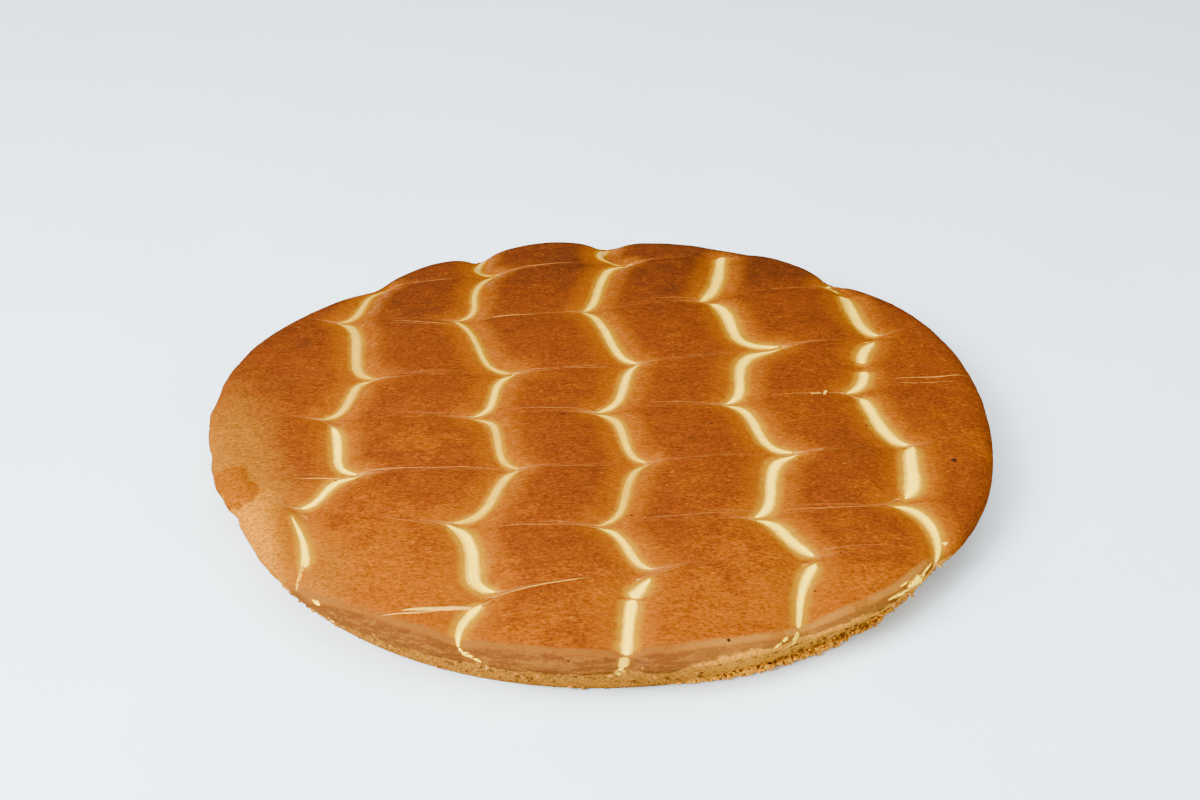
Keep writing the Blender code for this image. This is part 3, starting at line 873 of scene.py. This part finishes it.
# Flakes of crust and cream that stick up or hang loose: x, y, length, width, turn and tilt in degrees, and
# how pale, from 0, crust, to 1, cream
FLAKE = namedtuple("FLAKE", "x y length width turn tilt pale")
FLAKES = [FLAKE(*row) for row in (
    (75, 1.5, 4.2, 0.7, 8, 3, 0.5), (80, 1.5, 3, 1.1, 66, 10, 0.7), (-148, 14, 4.6, 0.5, 188, 10, 0.2),
    (-144, 30, 3.4, 0.5, 175, 14, 0.2), (144, -38, 2.6, 0.8, 8, 16, 0.5),
    (141, -48, 2.2, 0.7, -20, 12, 0.4), (105, -92, 3.2, 1.2, -40, 6, 0.4),
    (109, -83, 3.4, 1.8, 55, 4, 0.9), (91, -110, 3.4, 1.2, -120, 10, 0.3),
    (95, -106, 3, 1, -60, 12, 0.3), (-104, -104, 3.4, 1.5, 140, 12, 0.2),
    (-98, -112, 2.8, 1.2, 120, 10, 0.2), (-92, -118, 3.6, 1.6, 130, 6, 1),
    (-60, -138, 2.4, 1.2, 20, 4, 0.6),
)]


def loose_flakes():
    """Thin torn pieces, each a bent closed sheet with a ragged outline."""
    points, faces, tones = [], [], []
    steps = 6
    for index, flake in enumerate(FLAKES):
        root = Vector(lift([flake.x], [flake.y], 0.05)[0])
        turn = math.radians(flake.turn)
        along = Vector((math.cos(turn), math.sin(turn), math.tan(math.radians(flake.tilt))))
        across = Vector((-math.sin(turn), math.cos(turn), 0.0))
        start = len(points)
        for step in range(steps + 1):
            share = step / steps
            half = flake.width / 2 * (math.sin(math.pi * min(share * 0.9 + 0.08, 1.0)) ** 0.5)
            ragged = 1 + 0.35 * noise.noise((3.0 * share, index, 0.5))
            droop = Vector((0, 0, -0.5 * share * share))
            middle = root + (along * (flake.length * share) + droop) * MM
            for side in (-1, 1):
                edge = middle + across * (side * half * ragged * MM)
                points.append(edge + Vector((0, 0, 0.16)) * MM)
                points.append(edge - Vector((0, 0, 0.16)) * MM)
        for step in range(steps):
            a, b = start + 4 * step, start + 4 * step + 4
            faces += [(a, a + 2, b + 2, b), (a + 1, b + 1, b + 3, a + 3), (a, b, b + 1, a + 1)]
            faces += [(a + 2, a + 3, b + 3, b + 2)]
        end = start + 4 * steps
        faces += [(start, start + 1, start + 3, start + 2), (end, end + 2, end + 3, end + 1)]
        tones += [flake.pale] * (4 * (steps + 1))
    return new_mesh("loose_flakes", points, faces, {"pale": tones})


# Materials


# The share of red, green and blue light that each colour gives back
DARK_BROWN = (0.06, 0.0142, 0.0036, 1)
MID_BROWN = (0.103, 0.0212, 0.003, 1)
TAN = (0.171, 0.0415, 0.001, 1)
LEFT_TAN = (0.178, 0.062, 0.005, 1)
LEFT_PALE = (0.32, 0.116, 0.004, 1)
# The fleck colour below is painted glints: tiny pale dashes standing in for light caught on the crust
PAINTED_GLINT = (0.3, 0.095, 0.006, 1)
# The sheen tan below is painted sheen: a lighter tan beside the cream where the slopes catch the light
SHEEN_TAN = (0.245, 0.072, 0.0008, 1)
DEEP_GOLD = (0.176, 0.0455, 0.001, 1)
GOLD = (0.212, 0.087, 0.0006, 1)
FRESH_GOLD = (0.262, 0.115, 0.0006, 1)
SCAB_BROWN = (0.152, 0.039, 0.001, 1)
PALE_GOLD = (0.31, 0.152, 0.0004, 1)
CREAM = (0.9, 0.59, 0.009, 1)
BAKED_CREAM = (0.395, 0.206, 0.0005, 1)
STREAK_TAN = (0.21, 0.068, 0.008, 1)
STREAK_CREAM = (0.48, 0.25, 0.03, 1)
BAND_TAN = (0.14, 0.0515, 0.008, 1)
BAND_BROWN = (0.078, 0.0245, 0.0052, 1)
# The pale band colour below is partly painted light, for the right front where the lamps light the side
# less
PAINTED_LIGHT_AND_PALER_BAND = (0.215, 0.09, 0.012, 1)
CRUMB_GOLD = (0.375, 0.142, 0.0125, 1)
# The pale crumb colour below is mostly painted light, for crumbs at the right front that the lamps light
# less
PAINTED_LIGHT_AND_PALER_CRUMB = (0.72, 0.3, 0.013, 1)
CRUMB_DARK = (0.115, 0.035, 0.0045, 1)
SPECK = (0.012, 0.004, 0.002, 1)
PAPER = (0.74, 0.88, 0.96, 1)
PAPER_SHADE = (0.68, 0.82, 0.9, 1)


class Shader:
    """A material and short ways to add nodes to it."""

    def __init__(self, name):
        self.material = bpy.data.materials.new(name)
        self.material.use_nodes = True
        self.tree = self.material.node_tree
        self.surface = self.tree.nodes["Principled BSDF"]

    def node(self, kind, inputs=(), **settings):
        made = self.tree.nodes.new(kind)
        for name, value in settings.items():
            setattr(made, name, value)
        for name, value in dict(inputs).items():
            self.feed(made.inputs[name], value)
        return made

    def feed(self, socket, value):
        if isinstance(value, bpy.types.NodeSocket):
            self.tree.links.new(value, socket)
        else:
            socket.default_value = value

    def mark(self, name):
        """A number on the points of the piece."""
        return self.node("ShaderNodeAttribute", attribute_name=name).outputs["Fac"]

    def place(self, size, stretch):
        """Where the point is on the piece, in units of a size in millimetres, stretched."""
        where = self.node("ShaderNodeTexCoord").outputs["Object"]
        factors = [1000 * (part / size) for part in stretch]
        return self.node("ShaderNodeVectorMath", {0: where, 1: factors}, operation="MULTIPLY").outputs[0]

    def noise(self, size, detail=3.0, stretch=(1, 1, 1), rough=0.55):
        inputs = {"Vector": self.place(size, stretch), "Scale": 1.0, "Detail": detail, "Roughness": rough}
        return self.node("ShaderNodeTexNoise", inputs).outputs["Fac"]

    def dots(self, size, stretch=(1, 1, 1)):
        """Distance to the nearest of scattered points, as a share of the size."""
        inputs = {"Vector": self.place(size, stretch), "Scale": 1.0}
        return self.node("ShaderNodeTexVoronoi", inputs).outputs["Distance"]

    def math(self, operation, a, b=0.0, c=0.0):
        return self.node("ShaderNodeMath", {0: a, 1: b, 2: c}, operation=operation).outputs[0]

    def span(self, value, low, high, to_low=0.0, to_high=1.0):
        """The value moved from one range to another, smoothly and no further."""
        inputs = {"Value": value, "From Min": low, "From Max": high, "To Min": to_low, "To Max": to_high}
        return self.node("ShaderNodeMapRange", inputs, interpolation_type="SMOOTHSTEP").outputs["Result"]

    def swing(self, value, noise, amount):
        """The value moved up and down by a noise."""
        return self.math("MULTIPLY_ADD", self.math("SUBTRACT", noise, 0.5), amount, value)

    def both(self, *shares):
        """The product of some shares."""
        total = shares[0]
        for share in shares[1:]:
            total = self.math("MULTIPLY", total, share)
        return total

    def scale(self, colour, factor):
        return self.node("ShaderNodeVectorMath", {0: colour, 3: factor}, operation="SCALE").outputs[0]

    def mix(self, share, first, second):
        made = self.node("ShaderNodeMix", data_type="RGBA")
        self.feed(made.inputs[0], share)
        self.feed(made.inputs[6], first)
        self.feed(made.inputs[7], second)
        return made.outputs[2]

    def bump(self, height, depth, normal=None):
        inputs = {"Height": height, "Distance": depth * MM, "Strength": 1.0}
        if normal is not None:
            inputs["Normal"] = normal
        return self.node("ShaderNodeBump", inputs).outputs["Normal"]

    def finish(self, colour, rough, gloss, **others):
        """The material with its last sockets fed. Each of the others is named with _ for a space."""
        inputs = {"Base_Color": colour, "Roughness": rough, "Specular_IOR_Level": gloss, **others}
        for name, value in inputs.items():
            self.feed(self.surface.inputs[name.replace("_", " ")], value)
        return self.material


def crust_colour(s):
    """The browned top with painted glints and one painted highlight, its golden edges along the cream, and
    the marks of the skewer.
    """
    to_cream, fresh = s.mark("to_cream"), s.mark("fresh")
    tone = s.swing(s.mark("brownness_and_highlight"), s.noise(3.4, 4, (0.5, 1, 1), 0.62), 1.1)
    tone = s.swing(tone, s.noise(0.85, 3, (0.55, 1, 1), 0.7), 1.2)
    tone = s.swing(tone, s.noise(13, 3), 0.7)
    skin = s.mix(s.span(tone, 0, 0.62), TAN, MID_BROWN)
    skin = s.mix(s.span(tone, 0.62, 1.35), skin, DARK_BROWN)

    left = s.mark("left_rim")
    pale_left = s.mix(s.span(left, 0.55, 1), LEFT_TAN, LEFT_PALE)
    rim = s.span(s.swing(left, s.noise(8, 4), 0.5), -0.05, 0.6)
    skin = s.mix(rim, skin, s.mix(s.span(s.noise(1.6, 3), 0.2, 0.9, 0, 0.6), pale_left, TAN))
    scab = s.span(s.swing(s.mark("scab"), s.noise(3, 3), 0.7), 0.35, 0.6)
    skin = s.mix(s.both(scab, 0.9), skin, SCAB_BROWN)
    # Painted glints: tiny pale dashes scattered over the skin, standing in for light caught on small bumps
    painted_glints = s.span(s.dots(1.7, (0.42, 1, 1)), 0.2, 0.06, 0, 0.6)
    skin = s.mix(s.both(painted_glints, s.span(s.noise(7, 2), 0.4, 0.62)), skin, PAINTED_GLINT)
    grain = s.noise(0.8, 3, (0.5, 1, 1), 0.8)
    skin = s.scale(skin, s.span(grain, 0.3, 0.7, 0.62, 1.4))
    pores = s.span(s.dots(4.3, (0.7, 1, 1)), 0.08, 0.03, 0, 0.75)
    skin = s.mix(pores, skin, DARK_BROWN)
    drag = s.span(s.noise(1, 2, (0.12, 1.6, 1)), 0.45, 0.7)
    drag = s.both(drag, s.span(s.mark("to_stroke"), 2, 0.2))
    skin = s.mix(s.both(drag, 0.3), skin, STREAK_TAN)

    glow = s.swing(to_cream, s.noise(2.4, 3), 2.2)
    deep = s.scale(DEEP_GOLD[:3], s.span(grain, 0.3, 0.7, 0.78, 1.22))
    skin = s.mix(s.span(glow, 11, 0, 0, 0.9), skin, deep)
    gold = s.mix(fresh, GOLD, FRESH_GOLD)
    reach = s.span(fresh, 0.3, 1, 1.7, 2.9)
    return s.mix(s.span(s.math("DIVIDE", glow, reach), 1, -0.15), skin, gold)


def side_colour(s, skin):
    """The paler bands of the shoulder and the open crumb under the torn lip of the crust."""
    front, pale = s.mark("front_side"), s.mark("paler_side_and_painted_light")
    layers = s.swing(s.noise(1.7, 4, (0.25, 0.6, 1.6), 0.65), s.noise(0.7, 3, (0.5, 0.7, 1.2), 0.7), 0.6)
    past_band = s.swing(s.mark("past_band"), s.noise(14, 2), 3)
    band = s.mix(s.span(layers, 0.4, 0.68), BAND_BROWN, BAND_TAN)
    # At the right front the band and its pale line are mixed paler: partly their own colour, partly
    # painted light where the lamps light the side less
    band = s.mix(s.both(pale, 0.3), band, PAINTED_LIGHT_AND_PALER_BAND)
    edge = s.both(s.span(past_band, -2, -0.3), s.span(past_band, 2, 0.6))
    skin = s.mix(s.both(front, s.span(past_band, 0.4, 2.2, 0, 0.92)), skin, band)
    line = s.mix(pale, BAND_TAN, PAINTED_LIGHT_AND_PALER_BAND)
    skin = s.mix(s.both(front, edge, s.span(s.noise(9, 3), 0.3, 0.5, 0.35, 0.85)), skin, line)
    torn = s.swing(s.mark("below_lip"), s.noise(2.6, 4), 2.6)
    # At the right front the crumb reaches higher and is paler: partly its own colour, partly painted light
    torn = s.math("MULTIPLY_ADD", pale, 2.4, torn)
    crumb = s.mix(s.span(s.noise(0.9, 4, rough=0.7), 0.36, 0.6, 0.15, 1), CRUMB_DARK, CRUMB_GOLD)
    crumb = s.mix(s.both(pale, 0.2), crumb, PAINTED_LIGHT_AND_PALER_CRUMB)
    return s.mix(s.span(torn, -0.5, 0.5), skin, crumb)


def crust_material():
    s = Shader("baked_crust")
    below_lip, to_cream = s.mark("below_lip"), s.mark("to_cream")
    skin = crust_colour(s)
    # Painted sheen: right of the cream the skin colour is mixed toward a lighter tan as if lit; the same
    # mask also raises the gloss
    right = s.span(s.mark("right_of_cream"), 0, 0.5)
    beside = s.both(right, s.span(to_cream, 8.5, 1.8), s.span(to_cream, 0.6, 2))
    glints = s.span(s.noise(0.8, 3, (0.4, 1.1, 1), 0.7), 0.44, 0.6)
    shine = s.both(beside, s.span(s.noise(6, 2), 0.3, 0.6), glints)
    skin = s.mix(s.both(shine, 0.66), skin, SHEEN_TAN)
    skin = side_colour(s, skin)

    gloss = s.both(shine, 0.04)
    rough = s.math("MAXIMUM", s.span(below_lip, -6, 0, 0, 0.85), s.span(shine, 0, 1, 0.5, 0.36))
    wrinkles = s.swing(s.noise(1.6, 3, (0.45, 1, 1)), s.noise(0.6, 3, (0.6, 1, 1), 0.7), 0.9)
    normal = s.bump(wrinkles, 0.42)
    crumbly = s.both(s.noise(0.8, 3), s.span(below_lip, -1, 1))
    normal = s.bump(crumbly, 1, normal)
    return s.finish(skin, rough, gloss, Normal=normal)


def cream_material():
    s = Shader("baked_cream")
    fresh = s.swing(s.mark("fresh"), s.noise(5, 3), 0.5)
    core = s.mix(s.span(fresh, 0.1, 1), BAKED_CREAM, CREAM)
    side = s.mix(s.mark("fresh"), PALE_GOLD, BAKED_CREAM)
    worn = s.swing(s.mark("edge"), s.noise(1.3, 3), 0.4)
    tint = s.mix(s.span(worn, 0.25, 0.78), core, side)
    tint = s.mix(s.span(worn, 0.78, 1.02), tint, s.mix(s.mark("fresh"), GOLD, FRESH_GOLD))
    lines = s.span(s.noise(0.6, 3, (1.6, 0.3, 1)), 0.5, 0.8, 0, 0.4)
    tint = s.mix(lines, tint, side)
    spots = s.span(s.dots(2.2), 0.1, 0.03, 0, 0.5)
    tint = s.mix(spots, tint, MID_BROWN)
    normal = s.bump(s.noise(0.9, 3, (1.6, 0.5, 1)), 0.3)
    glow = {"Subsurface_Weight": 0.1, "Subsurface_Radius": (0.0012, 0.0008, 0.0003), "Subsurface_Scale": 1}
    return s.finish(tint, 0.42, 0.05, Normal=normal, **glow)


def streak_material():
    s = Shader("dragged_cream")
    pale = s.swing(s.mark("pale"), s.noise(3, 3), 0.6)
    tint = s.mix(s.span(pale, -0.1, 0.5), MID_BROWN, STREAK_TAN)
    tint = s.mix(s.span(pale, 0.5, 1), tint, STREAK_CREAM)
    return s.finish(tint, 0.45, 0.08, Normal=s.bump(s.noise(0.6, 2), 0.1))


def crumb_material():
    s = Shader("open_crumb")
    shade = s.swing(s.mark("shade"), s.noise(0.8, 3), 0.8)
    tint = s.mix(s.span(shade, 0, 1), CRUMB_DARK, CRUMB_GOLD)
    # Shades above 1, mostly the crumbs at the base, get a paler colour: painted light where the lamps
    # light them less
    tint = s.mix(s.span(shade, 1, 2), tint, PAINTED_LIGHT_AND_PALER_CRUMB)
    return s.finish(tint, 0.85, 0.04, Normal=s.bump(s.noise(0.4, 3), 0.3))


def speck_material():
    s = Shader("burnt_speck")
    tint = s.mix(s.span(s.noise(0.3, 2), 0.3, 0.7, 0, 0.3), SPECK, DARK_BROWN)
    return s.finish(tint, 0.6, 0.05)


def flake_material():
    s = Shader("torn_flake")
    pale = s.swing(s.mark("pale"), s.noise(1.2, 3), 0.5)
    tint = s.mix(s.span(pale, 0.1, 0.75), MID_BROWN, STREAK_CREAM)
    tint = s.mix(s.span(pale, 0.8, 1), tint, CREAM)
    return s.finish(tint, 0.55, 0.08, Normal=s.bump(s.noise(0.6, 3), 0.2))


def floor_material():
    s = Shader("studio_paper")
    tint = s.mix(s.span(s.noise(90, 2), 0.3, 0.7, 0, 0.5), PAPER, PAPER_SHADE)
    return s.finish(tint, 0.7, 0.2)


# The studio: a pale floor, soft light and the camera

CAMERA_AT = Vector((-0.0006, -0.5183, 0.3384))
CAMERA_DOWN, CAMERA_ROLL = math.radians(31.406), math.radians(-0.809)
CAMERA_LENS, CAMERA_SENSOR = 51, 36
LIGHT_AIM = Vector((0, 0, 0.01))
AIR_COLOUR, AIR_STRENGTH = (1.0, 0.98, 0.95, 1.0), 0.3
FLOOR_REACH, FLOOR_DROP = 6.0, -0.0002


def studio_floor():
    """One wide sheet of paper under the cake."""
    corners = ((-1, -1), (1, -1), (1, 1), (-1, 1))
    points = [(x * FLOOR_REACH, y * FLOOR_REACH, FLOOR_DROP) for x, y in corners]
    sheet = new_mesh("studio_floor", points, [(0, 1, 2, 3)])
    sheet.data.materials.append(floor_material())


def area_light(name, at, size, power):
    """A softbox turned to the middle of the cake."""
    data = bpy.data.lights.new(name, "AREA")
    data.shape = "RECTANGLE"
    data.size, data.size_y = size
    data.energy = power
    lamp = placed(name, data)
    lamp.location = at
    lamp.rotation_euler = (LIGHT_AIM - Vector(at)).to_track_quat("-Z", "Y").to_euler()


def studio_light():
    area_light("key_softbox", (-0.66, -0.60, 0.70), (0.6, 0.6), 60)
    area_light("fill_softbox", (1.00, -0.55, 0.65), (0.8, 0.8), 14)
    area_light("top_softbox", (0.0, -0.25, 1.3), (1.2, 0.9), 28)
    area_light("back_softbox", (-0.50, 1.30, 0.60), (0.7, 0.4), 8)
    world = bpy.data.worlds.new("studio_air")
    world.use_nodes = True
    background = world.node_tree.nodes["Background"]
    background.inputs["Color"].default_value = AIR_COLOUR
    background.inputs["Strength"].default_value = AIR_STRENGTH
    bpy.context.scene.world = world


def camera():
    data = bpy.data.cameras.new("camera")
    data.sensor_width = CAMERA_SENSOR
    data.lens = CAMERA_LENS
    data.dof.use_dof = False
    eye = placed("camera", data)
    turn = Matrix.Rotation(math.pi / 2 - CAMERA_DOWN, 4, "X") @ Matrix.Rotation(CAMERA_ROLL, 4, "Z")
    eye.matrix_world = Matrix.Translation(CAMERA_AT) @ turn
    bpy.context.scene.camera = eye


def dress(piece, material):
    piece.data.materials.append(material)
    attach(piece, "root")
    return piece


def main():
    skin = dress(cake_skin(), crust_material())
    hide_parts("cake")
    cream = cream_material()
    for number in range(len(LINES)):
        dress(cream_line(number), cream)
    dress(cream_smears(), cream)
    dress(cream_streaks(), streak_material())
    dress(side_crumbs(), crumb_material())
    dress(dark_specks(), speck_material())
    dress(loose_flakes(), flake_material())
    studio_floor()
    studio_light()
    camera()


main()
